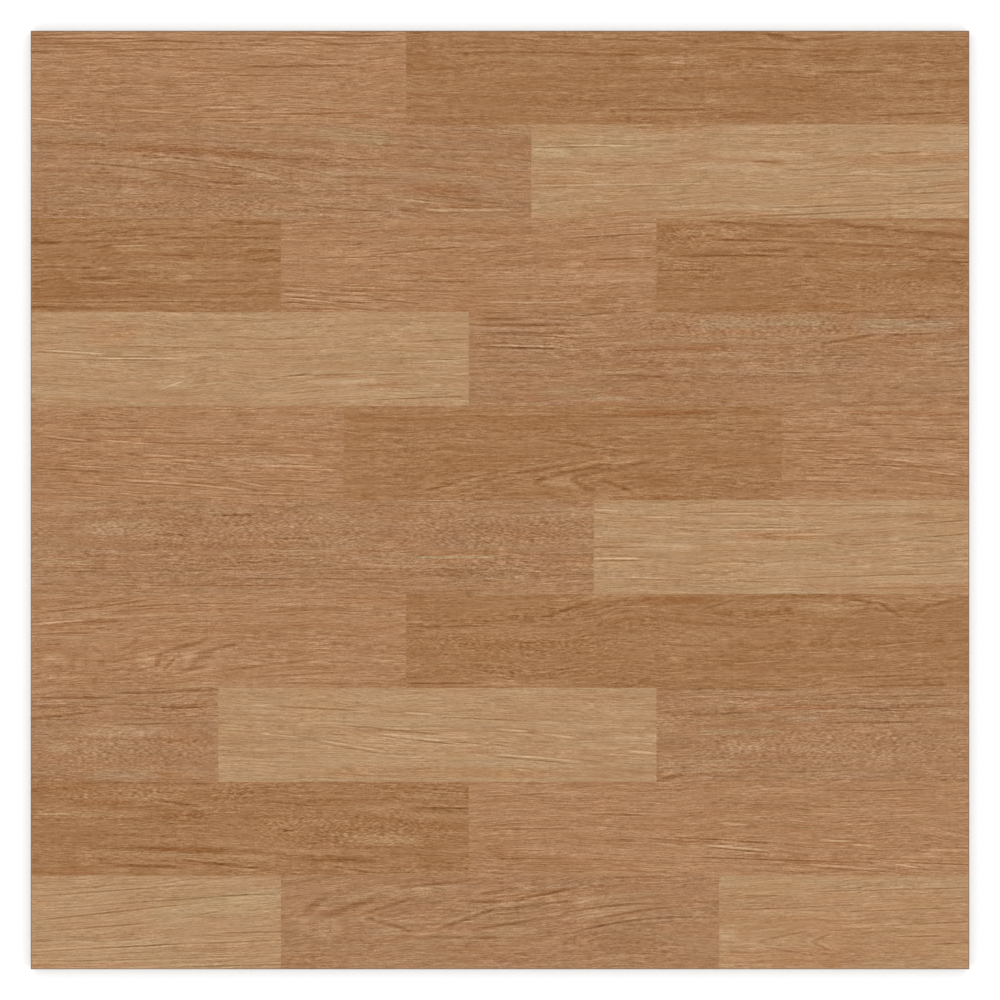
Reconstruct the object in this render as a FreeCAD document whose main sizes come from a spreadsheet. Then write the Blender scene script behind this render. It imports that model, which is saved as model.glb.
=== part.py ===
import FreeCAD, Part
import os
import Sketcher

# A square porcelain floor tile: dry pressed, printed, glazed and fired as one piece, then ground to size on its
# four sides. The face is flat. Its wood strips are only printed, so they have no relief of their own. Grinding
# leaves upright walls, square corners, and a narrow bevel round the face. The back keeps the imprint of the
# press: a flat rim and a lattice of low ribs, which key into the adhesive and are what the tile rests on.
# The frame has its origin in the middle of the back, +X along the printed grain, and +Z out of the face.

# Each driving dimension: its alias, its value, and what it is. Lengths are in mm and the draft is in degrees.
DRIVING_DIMENSIONS = (
    ("tile_length", 598.0, "side along the printed grain, after grinding"),
    ("tile_width", 598.0, "side across the printed grain, after grinding"),
    ("tile_thickness", 9.5, "from the crowns of the back ribs to the face"),
    ("face_bevel", 0.7, "height and width of the bevel that grinding puts round the face"),
    ("rim_width", 13.0, "flat rim of the back, from the wall to the first cell"),
    ("rib_crown", 2.4, "width of a rib at its crown"),
    ("cell_depth", 0.9, "depth of the cells between the ribs"),
    ("cell_draft", 40.0, "lean of the cell walls, which lets the punch leave the pressed body"),
    ("cells_along", 16, "number of cells along the length"),
    ("cells_across", 16, "number of cells across the width"),
)

# A cell and one rib share a pitch, and the lattice fills the back from rim to rim.
PITCH_ALONG = "(sizes.tile_length - 2 * sizes.rim_width + sizes.rib_crown) / sizes.cells_along"
PITCH_ACROSS = "(sizes.tile_width - 2 * sizes.rim_width + sizes.rib_crown) / sizes.cells_across"


def make_size_sheet(doc):
    """The spreadsheet that every sketch and feature takes its sizes from."""
    sheet = doc.addObject("Spreadsheet::Sheet", "sizes")
    for row, (alias, value, meaning) in enumerate(DRIVING_DIMENSIONS, start=1):
        sheet.set(f"A{row}", meaning)
        sheet.set(f"B{row}", str(value))
        sheet.setAlias(f"B{row}", alias)
    doc.recompute()
    return sheet


def origin_feature(body, role):
    """A plane or an axis of the body's own origin."""
    return next(feature for feature in body.Origin.OriginFeatures if feature.Role == role)


def sketch_on_back(body, name):
    """An empty sketch on the plane of the back."""
    sketch = body.newObject("Sketcher::SketchObject", name)
    sketch.AttachmentSupport = [(origin_feature(body, "XY_Plane"), "")]
    sketch.MapMode = "FlatFace"
    return sketch


def draw_rectangle(sketch, low_corner, length, width):
    """Four joined lines: low side, right side, high side, left side. They are level and upright."""
    low_x, low_y = low_corner
    corners = [(0, 0), (1, 0), (1, 1), (0, 1)]
    points = [FreeCAD.Vector(low_x + across * length, low_y + up * width, 0) for across, up in corners]
    for start, end in zip(points, points[1:] + points[:1]):
        sketch.addGeometry(Part.LineSegment(start, end))
    for side in range(4):
        sketch.addConstraint(Sketcher.Constraint("Coincident", side, 2, (side + 1) % 4, 1))
        sketch.addConstraint(Sketcher.Constraint("Horizontal" if side % 2 == 0 else "Vertical", side))


def bind(sketch, kind, elements, name, expression):
    """Adds one dimension to a sketch and ties it to the size sheet."""
    index = sketch.addConstraint(Sketcher.Constraint(kind, *elements, 1.0))
    sketch.renameConstraint(index, name)
    sketch.setExpression(f"Constraints.{name}", expression)


def draw_outline(body, sheet):
    """The outline of the tile, centred on the origin."""
    sketch = sketch_on_back(body, "tile_outline")
    low_corner = (-sheet.tile_length / 2, -sheet.tile_width / 2)
    draw_rectangle(sketch, low_corner, sheet.tile_length, sheet.tile_width)
    sketch.addConstraint(Sketcher.Constraint("Symmetric", 0, 1, 1, 2, -1, 1))
    bind(sketch, "DistanceX", (0, 1, 0, 2), "length", "sizes.tile_length")
    bind(sketch, "DistanceY", (1, 1, 1, 2), "width", "sizes.tile_width")
    return sketch


def draw_first_cell(body, sheet):
    """The mouth of the cell in the corner of the back that lies towards -X and -Y."""
    sketch = sketch_on_back(body, "first_cell_mouth")
    low_corner = (sheet.rim_width - sheet.tile_length / 2, sheet.rim_width - sheet.tile_width / 2)
    draw_rectangle(sketch, low_corner, sheet.rim_width, sheet.rim_width)
    bind(sketch, "DistanceX", (0, 1, -1, 1), "to_middle_along", "sizes.tile_length / 2 - sizes.rim_width")
    bind(sketch, "DistanceY", (0, 1, -1, 1), "to_middle_across", "sizes.tile_width / 2 - sizes.rim_width")
    bind(sketch, "DistanceX", (0, 1, 0, 2), "mouth_length", f"{PITCH_ALONG} - sizes.rib_crown")
    bind(sketch, "DistanceY", (1, 1, 1, 2), "mouth_width", f"{PITCH_ACROSS} - sizes.rib_crown")
    return sketch


def face_edges(shape, height):
    """The names of the four edges that bound the face."""
    names = []
    for number, edge in enumerate(shape.Edges, start=1):
        if all(abs(vertex.Z - height) < 1e-6 for vertex in edge.Vertexes):
            names.append(f"Edge{number}")
    return names


def make_tile(doc, sheet):
    """Presses the slab, grinds its bevel and imprints the lattice of cells in its back."""
    body = doc.addObject("PartDesign::Body", "floor_tile")
    body.Label = "floor_tile"

    outline = draw_outline(body, sheet)
    slab = body.newObject("PartDesign::Pad", "pressed_slab")
    slab.Profile = outline
    slab.setExpression("Length", "sizes.tile_thickness")
    doc.recompute()

    bevel = body.newObject("PartDesign::Chamfer", "ground_bevel")
    bevel.Base = (slab, face_edges(slab.Shape, sheet.tile_thickness))
    bevel.setExpression("Size", "sizes.face_bevel")
    doc.recompute()

    cell = body.newObject("PartDesign::Pocket", "first_cell")
    cell.Profile = draw_first_cell(body, sheet)
    cell.Reversed = True
    cell.setExpression("Length", "sizes.cell_depth")
    cell.setExpression("TaperAngle", "-sizes.cell_draft")
    doc.recompute()

    lattice = body.newObject("PartDesign::LinearPattern", "cell_lattice")
    lattice.Originals = [cell]
    lattice.Direction = (origin_feature(body, "X_Axis"), [""])
    lattice.setExpression("Length", f"(sizes.cells_along - 1) * ({PITCH_ALONG})")
    lattice.setExpression("Occurrences", "sizes.cells_along")
    lattice.Direction2 = (origin_feature(body, "Y_Axis"), [""])
    lattice.setExpression("Length2", f"(sizes.cells_across - 1) * ({PITCH_ACROSS})")
    lattice.setExpression("Occurrences2", "sizes.cells_across")
    body.Tip = lattice
    doc.recompute()
    return body


def check_document(doc, pieces):
    """Stops the build if an object failed to recompute or a piece isn't one sound solid."""
    failed = [item.Name for item in doc.Objects if {"Invalid", "Error"} & set(item.State)]
    if failed:
        raise RuntimeError(f"these objects did not recompute: {failed}")
    for piece in pieces:
        shape = piece.Shape
        if shape.isNull() or not shape.isValid() or len(shape.Solids) != 1:
            raise RuntimeError(f"{piece.Label} is not one sound solid")


doc = FreeCAD.newDocument("wood_look_floor_tile")
size_sheet = make_size_sheet(doc)
pieces = [make_tile(doc, size_sheet)]
check_document(doc, pieces)
os.makedirs("parts", exist_ok=True)
for piece in pieces:
    piece.Shape.exportStep(f"parts/{piece.Label}.step")
    print(piece.Label, "volume", round(piece.Shape.Volume), "faces", len(piece.Shape.Faces))
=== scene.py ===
import math
import bpy
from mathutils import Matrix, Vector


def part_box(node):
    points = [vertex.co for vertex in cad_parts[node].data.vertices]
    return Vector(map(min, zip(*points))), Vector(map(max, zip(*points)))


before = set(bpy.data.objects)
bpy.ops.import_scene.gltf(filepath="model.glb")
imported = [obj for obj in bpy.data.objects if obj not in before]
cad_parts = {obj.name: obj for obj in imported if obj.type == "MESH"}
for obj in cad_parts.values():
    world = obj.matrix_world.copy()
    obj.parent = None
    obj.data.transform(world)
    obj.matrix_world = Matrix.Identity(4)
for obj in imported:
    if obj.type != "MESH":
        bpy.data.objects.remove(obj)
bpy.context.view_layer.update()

# Floor tile: one pressed and fired slab of porcelain. An ink-jet line prints the wood on its flat
# face, a clear glaze is fired over the print, and the four sides are then ground to size with a
# narrow bevel. The slab's mesh comes from the CAD model, and what follows is its finish.
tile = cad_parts["floor_tile"]
tile_low, tile_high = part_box("floor_tile")
millimetre = 0.001
tile_length = (tile_high.x - tile_low.x) / millimetre
tile_width = (tile_high.y - tile_low.y) / millimetre
tile_thickness = tile_high.z / millimetre

glazed_porcelain = bpy.data.materials.new("glazed_porcelain")
glazed_porcelain.use_nodes = True
glazed_porcelain.node_tree.nodes.clear()
recipe = glazed_porcelain.node_tree


class Reading:
    """What the material works out at a point: one number, or a colour or a place as three."""

    def __init__(self, socket):
        self.socket = socket
        self.is_vector = socket.type in {"VECTOR", "RGBA"}

    def __add__(self, other):
        return work_out("ADD", self, other)

    def __sub__(self, other):
        return work_out("SUBTRACT", self, other)

    def __mul__(self, other):
        return work_out("MULTIPLY", self, other)

    def __truediv__(self, other):
        return work_out("DIVIDE", self, other)

    def __radd__(self, other):
        return work_out("ADD", other, self)

    def __rsub__(self, other):
        return work_out("SUBTRACT", other, self)


def plug(socket, value):
    """Gives a node's input a reading or a plain value."""
    if isinstance(value, Reading):
        recipe.links.new(value.socket, socket)
    elif socket.type == "VECTOR" and not hasattr(value, "__len__"):
        socket.default_value = (value, value, value)
    else:
        socket.default_value = value


def work_out(operation, *terms):
    """One sum on numbers, or on vectors where a term is a vector."""
    vectors = any(hasattr(term, "__len__") or isinstance(term, Reading) and term.is_vector
                  for term in terms)
    node = recipe.nodes.new("ShaderNodeVectorMath" if vectors else "ShaderNodeMath")
    node.operation = operation
    for socket, term in zip(node.inputs, terms):
        plug(socket, term)
    return Reading(node.outputs[0])


def split(vector):
    """The three numbers of a vector."""
    node = recipe.nodes.new("ShaderNodeSeparateXYZ")
    plug(node.inputs[0], vector)
    return [Reading(output) for output in node.outputs]


def join(x, y, z=0.0):
    """One vector of three numbers."""
    node = recipe.nodes.new("ShaderNodeCombineXYZ")
    for socket, term in zip(node.inputs, (x, y, z)):
        plug(socket, term)
    return Reading(node.outputs[0])


def noise(place, length, height, lot, detail=0.0):
    """Smooth random tone about zero, in patches of this length and height in mm. Each lot of
    patches is a roll of its own."""
    node = recipe.nodes.new("ShaderNodeTexNoise")
    node.noise_dimensions = "2D"
    corner = (lot * 13.7, lot * 31.1, 0)
    scaled = work_out("MULTIPLY_ADD", place, (1 / length, 1 / height, 0), corner)
    plug(node.inputs["Vector"], scaled)
    node.inputs["Scale"].default_value = 1.0
    node.inputs["Detail"].default_value = detail
    return Reading(node.outputs["Fac"]) - 0.5


def ease(value, low, high):
    """Zero at low, one at high, and smooth between them."""
    node = recipe.nodes.new("ShaderNodeMapRange")
    node.interpolation_type = "SMOOTHSTEP"
    plug(node.inputs["Value"], value)
    plug(node.inputs["From Min"], low)
    plug(node.inputs["From Max"], high)
    return Reading(node.outputs["Result"])


def mix(share, first, second):
    """first where share is zero, second where it is one."""
    return first + (second - first) * share


table_room = 32


def look_up(place, rows):
    """One row of a table as a vector and a fourth number. The entries lie between 0 and 1."""
    node = recipe.nodes.new("ShaderNodeValToRGB")
    ramp = node.color_ramp
    ramp.interpolation = "CONSTANT"
    while len(ramp.elements) < len(rows):
        ramp.elements.new(len(ramp.elements) / table_room)
    for number, (element, row) in enumerate(zip(ramp.elements, rows)):
        element.position = number / table_room
        element.color = row
    plug(node.inputs[0], place)
    return Reading(node.outputs["Color"]), Reading(node.outputs["Alpha"])


# The print's layout: ten rows of strips, whose ends lie on fifteenths of the tile's side.
# climb is how far the grain rises to the right, in mm per 100 mm. steepening is what the climb
# gains towards the strip's right end, and fan what it gains towards its lower edge. lines is the
# strength of the dark grain lines at the upper edge, in the middle and at the lower edge.
# A figure is a stroke of ink, in mm: its middle from the tile's left side and from the row's upper
# edge, half its length and width, how far its right end rises, and how far both ends drop.
# A hill is a swelling of the grain: its middle, half its length and width, its height and its tilt.
strips = [
    [
        dict(start=0, wood="rosy", climb=0, steepening=0, fan=0, lines=(0.8, 0.5, 0.6),
             hill=(105, 8, 110, 16, 2, 0), figures=[
            ("light", 40, 3.5, 32, 1.6, 0, 0), ("pale", 45, 6.4, 28, 0.5, 0.1, -0.2),
            ("dark", 25, 4.9, 45, 0.45, 0, 0), ("dark", 25, 8.4, 30, 0.55, 0.1, 0),
            ("brown", 32, 10.3, 36, 0.6, 0, 0), ("dark", 16, 14.2, 20, 0.7, 0, 0),
            ("dark", 88, 12, 52, 0.6, 0.8, 1.4), ("dark", 100, 7.2, 38, 0.6, -1.2, -0.2),
            ("dark", 185, 9.1, 55, 0.65, 1, -0.9), ("dark", 175, 2.8, 60, 0.55, -0.5, 0),
            ("pale", 178, 4.4, 22, 0.5, 0, 0), ("dark", 172, 22.6, 40, 0.65, 0.5, -0.3),
            ("dark", 145, 28.6, 42, 0.45, -0.2, -0.6), ("pale", 80, 51.7, 18, 0.5, -1.3, 0),
            ("pale", 123, 49, 14, 0.7, 0, 0), ("dark", 188, 52.8, 34, 0.5, 0.9, -0.8),
            ("pale", 12, 56.9, 14, 0.5, -1.4, 0), ("rust", 213, 54.5, 9, 1.2, 0.3, 0),
            ("light", 234, 54.5, 8, 2, 0, 0), ("dark", 128, 57.6, 12, 0.5, 0, 0),
        ]),
        dict(start=6, wood="golden", climb=0, steepening=0.5, fan=0, lines=(0.5, 0.3, 0.3),
             figures=[
            ("dark", 337, 4.1, 18, 0.75, -0.2, 0), ("dark", 325, 13.9, 32, 0.6, -0.4, 0),
            ("brown", 368, 15.4, 22, 0.8, -0.6, 0), ("brown", 285, 14.4, 16, 0.8, 0.3, 0),
            ("brown", 378, 5.8, 22, 0.6, -0.6, 0), ("brown", 462, 1.9, 20, 1, -1, 0),
            ("brown", 481, 5, 12, 1.6, -2.2, 0), ("brown", 503, 5.2, 20, 1, 1.8, -0.2),
            ("brown", 462, 11.5, 22, 0.7, -0.8, 0), ("dark", 525, 26.3, 20, 0.9, 0.4, 0),
            ("pink", 408, 19, 28, 2.5, 0, 0), ("pale", 412, 20.6, 5, 0.6, -0.3, 0),
            ("pale", 472, 22.5, 12, 0.5, 0, 0), ("rust", 425, 30.5, 14, 0.8, 0, 0),
            ("dark", 415, 50.4, 34, 0.55, 0, 0), ("light", 385, 53, 50, 1.1, 0, 0),
            ("dark", 560, 53.2, 24, 0.6, 0.8, 0), ("dim", 512, 15, 16, 5, 0, 0),
            ("dim", 245, 12, 9, 11, 0, 0), ("dim", 580, 13, 30, 6, 0, 0),
        ]),
    ],
    [
        dict(start=0, wood="flecked", climb=-3, steepening=-3, fan=1, lines=(0.5, 0.6, 0.5),
             figures=[
            ("rust", 100, 16.8, 88, 2.6, -6, 2.2), ("dim", 100, 17, 95, 3.6, -6, 2.2),
            ("dark", 125, 26, 36, 0.7, -6.5, 1.3), ("dark", 67, 27.5, 38, 0.65, -4.7, 1.6),
            ("dark", 78, 20.5, 8, 0.9, -0.5, 0), ("brown", 171, 27.5, 20, 0.7, -4.2, 1),
            ("pink", 65, 31.5, 14, 2.6, -1.2, 0.6), ("light", 141, 28.5, 12, 2.6, -2.6, 0.6),
            ("pink", 148, 33, 12, 2.6, -1.8, 0.4), ("light", 187, 33.5, 15, 3.4, -2, 0),
            ("light", 73, 34, 11, 2, -1, 0.4), ("dark", 141, 2.8, 7, 0.8, -0.3, 0),
            ("pale", 42, 51.3, 12, 0.4, 0, 0), ("dark", 197, 53.6, 26, 0.6, -1.8, 0),
            ("olive", 207, 8, 24, 6, -2, 0), ("rust", 262, 41.5, 26, 3, -1, 0),
            ("pale", 250, 49.5, 22, 0.6, -2.2, 0), ("pale", 280, 54.5, 28, 0.8, 0, 0),
            ("olive", 152, 56.5, 13, 2.5, 0, 0), ("flecks", 110, 52, 55, 7, 0, 0),
        ]),
        dict(start=8, wood="straw", climb=2, steepening=2.5, fan=1, lines=(0.45, 0.5, 0.6),
             figures=[
            ("pale", 362, 13.4, 22, 0.5, -0.2, 0), ("pink", 465, 19.2, 30, 2.4, -1, 0),
            ("pink", 440, 27, 24, 2.4, 0, 0), ("dark", 345, 14.4, 22, 0.45, 0.5, 0),
            ("orange", 560, 22, 42, 4, 1.5, 0), ("dark", 575, 29.5, 34, 0.6, 1.4, -0.4),
            ("dark", 500, 56.8, 60, 0.6, 3, -0.4), ("orange", 340, 36, 18, 3, 0, 0),
            ("brown", 540, 51, 60, 0.6, 1.8, 0), ("olive", 360, 14, 42, 7, 0, 0),
            ("dark", 512, 32.8, 24, 0.45, 0.2, 0), ("orange", 400, 57, 80, 2, 0, 0),
            ("dark", 470, 23.4, 10, 0.6, 0, 0), ("dark", 555, 18.2, 12, 0.6, 0.6, 0),
            ("orange", 415, 3, 30, 3, 0, 0), ("pink", 468, 29, 12, 1.6, 0, 0),
            ("dark", 575, 43.6, 26, 0.5, 0.8, 0), ("light", 330, 18, 12, 3.5, 0, 0),
            ("orange", 590, 38, 14, 3, 0.5, 0), ("pale", 380, 38.2, 60, 0.4, 0.6, 0),
        ]),
    ],
    [
        dict(start=0, wood="golden", climb=1, steepening=-1, fan=-1, lines=(0.4, 0.4, 0.4),
             figures=[
            ("brown", 8, 15.2, 11, 1.6, -0.6, 0), ("brown", 38, 14.7, 32, 0.9, 1.1, 0),
            ("brown", 120, 12.3, 42, 0.7, 0.2, 0.4), ("brown", 140, 2.6, 22, 1.1, -1.2, 0),
            ("brown", 68, 11, 24, 0.6, 1.2, 0), ("dark", 14, 31, 12, 0.7, 0, 0),
            ("dark", 32, 31.6, 10, 0.6, 0, 0), ("dim", 40, 36, 42, 3, 0, 0),
            ("dark", 44, 38.2, 14, 0.8, 0.2, 0), ("brown", 150, 20.4, 14, 1.2, 0, 0),
            ("brown", 150, 26.6, 14, 1.2, 0, 0), ("dark", 60, 53.2, 60, 0.45, 0.2, 0),
            ("dim", 45, 46, 55, 5, 0, 0), ("pale", 64, 17.5, 12, 0.5, 0.3, 0),
            ("light", 78, 19, 22, 2, 0.5, 0), ("brown", 118, 40, 22, 0.9, 0, 0),
            ("pale", 45, 41, 16, 0.5, -0.4, 0), ("brown", 20, 57, 30, 1.2, 0, 0),
            ("dark", 70, 50, 6, 0.7, 0, 0), ("dim", 120, 24, 40, 2.5, 0, 0),
        ]),
        dict(start=4, wood="rosy", climb=0.5, steepening=2, fan=-3, lines=(0.5, 0.4, 0.6), figures=[
            ("pale", 172, 48.8, 13, 0.45, -0.8, 0), ("pale", 203, 50.8, 14, 0.4, -1, 0),
            ("pale", 180, 52.4, 18, 0.45, -1.8, 0), ("pale", 212, 55.4, 11, 0.4, -1.4, 0),
            ("dark", 185, 51.6, 28, 0.55, -2.4, 0), ("dark", 192, 55.8, 34, 0.55, -3.2, 0),
            ("pale", 190, 46.3, 28, 0.4, -2, 0), ("pale", 196, 43.4, 30, 0.4, -1.2, 0),
            ("dark", 190, 48, 32, 0.5, -2.2, 0), ("dark", 250, 20.2, 32, 0.55, 2.6, 0.4),
            ("light", 255, 12.6, 38, 1, 1.6, 0), ("dark", 190, 3.6, 30, 0.5, 1.6, 0),
            ("dark", 205, 24.8, 30, 0.5, 0.8, 0), ("dark", 378, 25.8, 20, 0.6, 0.9, 0),
            ("dark", 370, 11, 34, 0.5, 2, 0), ("dark", 365, 6, 24, 0.5, 1.4, 0),
            ("pink", 350, 37, 60, 5, 0, 0), ("pale", 320, 53.6, 30, 0.5, 0, -0.3),
            ("dark", 232, 52.8, 16, 0.5, -1.6, 0), ("dark", 262, 40.3, 26, 0.45, -0.2, 0),
        ]),
        dict(start=10, wood="golden", climb=-1, steepening=-2.5, fan=1.5, lines=(0.25, 0.3, 0.25),
             figures=[
            ("brown", 462, 3.6, 31, 1, -1.6, 0), ("brown", 508, 2.8, 17, 1.1, 0, 1.8),
            ("brown", 560, 8.2, 42, 1.4, -4.4, 0.5), ("dim", 565, 12, 36, 1.8, -2.6, 0),
            ("dark", 457, 13.9, 19, 0.7, -0.3, 0), ("brown", 500, 15.4, 28, 0.9, -0.6, 0),
            ("brown", 556, 18.4, 36, 0.8, -1.8, 0), ("brown", 583, 20.3, 14, 0.7, -0.4, 0),
            ("dark", 440, 23.7, 32, 0.65, 0.2, 0.1), ("brown", 487, 24.4, 26, 0.8, -0.2, 0),
            ("brown", 584, 27.5, 18, 0.7, -0.6, 0), ("light", 542, 30, 26, 3, -0.6, 0),
            ("flecks", 415, 12, 22, 9, 0, 0), ("flecks", 550, 44, 30, 7, 0, 0),
            ("brown", 472, 20, 14, 1.2, 0.2, 0), ("dark", 418, 33, 22, 0.5, 0, 0),
            ("rust", 510, 55.5, 20, 1.2, 0, 0), ("light", 560, 3, 36, 2.2, -2, 0),
            ("light", 440, 8, 24, 2.4, 0, 0), ("dim", 545, 39, 40, 2, 0, 0),
        ]),
    ],
    [
        dict(start=0, wood="straw", climb=0.5, steepening=3, fan=0, lines=(0.4, 0.5, 0.4), figures=[
            ("dark", 22, 26.2, 22, 0.55, -1.2, 0.2), ("dark", 62, 28.4, 30, 0.5, -0.3, -0.4),
            ("dark", 55, 30.4, 36, 0.4, -0.3, 0), ("pale", 26, 25.3, 20, 0.4, -1.2, 0),
            ("pale", 75, 29.4, 28, 0.45, 0.1, 0), ("dark", 110, 22.6, 60, 0.45, -1.2, 0),
            ("orange", 50, 14, 17, 8, 0, 0), ("dark", 190, 39.8, 22, 0.6, 0.6, -0.3),
            ("dark", 165, 40.8, 14, 0.6, 2.2, 0), ("orange", 198, 41, 18, 1.2, 0.3, 0),
            ("pink", 200, 44.2, 20, 1.8, 0.2, 0), ("orange", 228, 46.5, 20, 2, 0, 0),
            ("dark", 262, 17.8, 22, 0.6, 1, 0), ("dark", 180, 50.2, 18, 0.5, 1.8, 0),
            ("pink", 92, 44.5, 12, 3.5, 2, 0), ("pale", 90, 46.5, 8, 0.5, 3, 0),
            ("dark", 250, 54.5, 28, 0.5, 1.2, 0), ("dark", 228, 39.6, 16, 0.5, 0.4, 0),
            ("pale", 265, 31, 22, 0.4, 1.2, 0), ("dark", 30, 10, 12, 0.5, -0.6, 0),
        ]),
        dict(start=7, wood="flecked", climb=0.5, steepening=0.5, fan=0, lines=(0.8, 0.5, 0.4),
             figures=[
            ("dark", 315, 8, 30, 1, 0, 0), ("dark", 320, 13.2, 30, 1, 0, 0),
            ("dark", 300, 4.6, 14, 0.8, 0, 0), ("dark", 312, 22.8, 24, 0.8, 0, 0),
            ("grey", 465, 6.6, 40, 3, 1, 0), ("grey", 543, 8.5, 16, 5, 0, 0),
            ("grey", 572, 9, 16, 4.5, 0, 0), ("rust", 412, 24, 34, 2.2, 0.3, 0),
            ("dark", 520, 17.2, 18, 0.9, 3.2, 0.4), ("olive", 372, 37.5, 22, 2.4, 0, 0),
            ("olive", 345, 51.5, 20, 3, 0, 0), ("grey", 368, 54.5, 14, 1.6, 0, 0),
            ("dark", 487, 38.6, 10, 0.6, 0, 0), ("dim", 460, 42, 60, 3, 0, 0),
            ("flecks", 455, 9, 85, 9, 0, 0), ("pale", 315, 21.4, 22, 0.55, -0.5, 0),
            ("brown", 385, 40.5, 22, 1, -0.6, 0), ("rust", 480, 9.6, 16, 1, 0, 0),
            ("rust", 565, 3.8, 14, 1, 0.3, 0), ("dark", 590, 31, 12, 0.6, 1, 0),
        ]),
    ],
    [
        dict(start=0, wood="rosy", climb=-2, steepening=0, fan=-1, lines=(0.4, 0.5, 0.6), figures=[
            ("pale", 22, 20.4, 14, 0.5, -1.6, 0), ("pale", 62, 23, 18, 0.45, -1.4, 0),
            ("pale", 81, 31.4, 12, 0.65, -0.7, 0), ("pale", 108, 35.4, 17, 0.5, -1.6, 0),
            ("pale", 84, 48.5, 24, 0.6, -1.6, 0), ("pale", 120, 51.6, 16, 0.5, -1.6, 0),
            ("pale", 165, 38.3, 20, 0.6, -0.3, 0), ("pale", 172, 31.2, 9, 0.5, -0.4, 0),
            ("pale", 139, 49.2, 10, 0.55, -2, 0), ("pale", 38, 38.6, 14, 0.4, -0.8, 0),
            ("dark", 30, 40.8, 34, 0.5, -1.6, 0), ("dark", 112, 24, 40, 0.5, -0.8, 0),
            ("dark", 55, 14, 34, 0.5, 0, 0), ("dark", 165, 47.6, 22, 0.5, -1, 0),
            ("dark", 84, 50, 26, 0.45, -1.6, 0), ("dark", 150, 56.6, 26, 0.45, -0.6, 0),
            ("light", 160, 35, 34, 3, -0.8, 0), ("pale", 185, 40.6, 11, 0.4, -0.3, 0),
            ("dark", 108, 37.2, 16, 0.5, -1.4, 0), ("dark", 24, 21.9, 14, 0.45, -1.6, 0),
        ]),
        dict(start=5, wood="golden", climb=1, steepening=0, fan=1.5, lines=(0.6, 0.3, 0.3),
             hill=(398, 40, 75, 22, 6, 0), figures=[
            ("brown", 319, 41.2, 36, 1.1, 6.8, 0.5), ("brown", 347, 41.2, 25, 1.3, 5.2, 0.6),
            ("soft", 371, 32, 2.6, 2.2, 0, 0), ("brown", 355, 25.2, 23, 0.9, -3.4, 0.4),
            ("soft", 324, 47.6, 4, 1.7, 2.6, 0), ("soft", 334, 52, 11, 1, -2.2, 0),
            ("brown", 372, 39.4, 27, 1.2, 6.2, 0), ("brown", 353, 51.4, 7.5, 1.8, -3.6, 0),
            ("soft", 346, 47, 2.4, 2.4, 0, 0), ("soft", 345, 56.6, 17, 1, 1.4, 0.3),
            ("brown", 373, 50.6, 11, 1.4, -3.8, 0), ("soft", 385, 38, 16, 0.8, 4.4, 0),
            ("dim", 398, 46.5, 12, 5.5, 0, 0), ("rust", 395, 58.4, 24, 1.6, 0, 0),
            ("light", 337, 48.5, 10, 3.4, 0, 0), ("brown", 280, 45.4, 20, 0.9, 3.9, 0),
            ("brown", 264, 50.6, 13, 0.8, 3.2, 0), ("brown", 371, 6.8, 80, 0.7, -0.9, 0.4),
            ("soft", 446, 38.2, 14, 1, 1.6, 0), ("rust", 400, 4.4, 30, 1.6, 0, 0),
        ]),
        dict(start=12, wood="rosy", climb=-1.5, steepening=-1, fan=-1, lines=(0.5, 0.6, 0.4),
             figures=[
            ("pale", 492, 28.2, 13, 0.55, -1, 0), ("pale", 513, 33, 7, 0.5, -0.3, 0),
            ("pale", 558, 34.8, 16, 0.5, -1.6, 0), ("pale", 581, 42.6, 12, 0.55, -1.5, 0),
            ("dark", 560, 12, 40, 0.5, -0.5, 0), ("dark", 565, 20, 35, 0.5, -1, 0),
            ("dark", 575, 29, 30, 0.5, -1, 0), ("dark", 550, 38, 35, 0.45, -1, 0),
            ("dark", 505, 48, 24, 0.45, -0.6, 0), ("dark", 590, 50, 14, 0.5, -0.6, 0),
            ("pink", 570, 31, 26, 3, -1, 0), ("rust", 560, 4.6, 38, 1.4, -0.5, 0),
            ("dark", 528, 12.3, 12, 0.45, 0, 0), ("dark", 575, 21, 18, 0.45, -0.6, 0),
            ("dark", 560, 27.5, 26, 0.5, -0.8, 0), ("dark", 500, 22, 30, 0.4, -0.4, 0),
            ("pale", 546, 38.8, 9, 0.45, -1, 0), ("light", 562, 34.4, 9, 1.4, -0.4, 0),
            ("pale", 533, 19.4, 10, 0.4, -0.3, 0), ("soft", 500, 16.4, 24, 0.5, -0.2, 0),
        ]),
    ],
    [
        dict(start=0, wood="flecked", climb=0, steepening=0, fan=0, lines=(0.2, 0.3, 0.5), figures=[
            ("flecks", 170, 19, 200, 13, 0, 0), ("flecks", 130, 19, 70, 9, 0, 0),
            ("dim", 105, 12, 60, 3, 0.5, 0), ("rust", 212, 33, 14, 1.8, 0, 0),
            ("olive", 275, 36.5, 34, 1.3, 0, 0), ("olive", 20, 39, 25, 2, 0, 0),
            ("dim", 300, 20, 40, 8, 0, 0), ("brown", 325, 8, 22, 0.8, 0.4, 0),
            ("light", 60, 18, 26, 5, 0, 0), ("dim", 310, 47, 50, 4, 0, 0),
            ("flecks", 310, 20, 60, 10, 0, 0), ("dim", 90, 29, 90, 2, 0, 0),
            ("dark", 60, 45.4, 60, 0.4, 0, 0), ("dark", 180, 50.2, 60, 0.4, 0, 0),
            ("dark", 240, 44, 50, 0.4, 0, 0), ("grey", 268, 36.4, 26, 0.7, 0, 0),
            ("dark", 100, 54.6, 70, 0.4, 0.3, 0), ("dark", 130, 9.4, 12, 0.8, 0, 0),
            ("dark", 165, 24.5, 12, 0.7, 0, 0), ("dark", 92, 22, 12, 0.7, 0, 0),
        ]),
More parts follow.
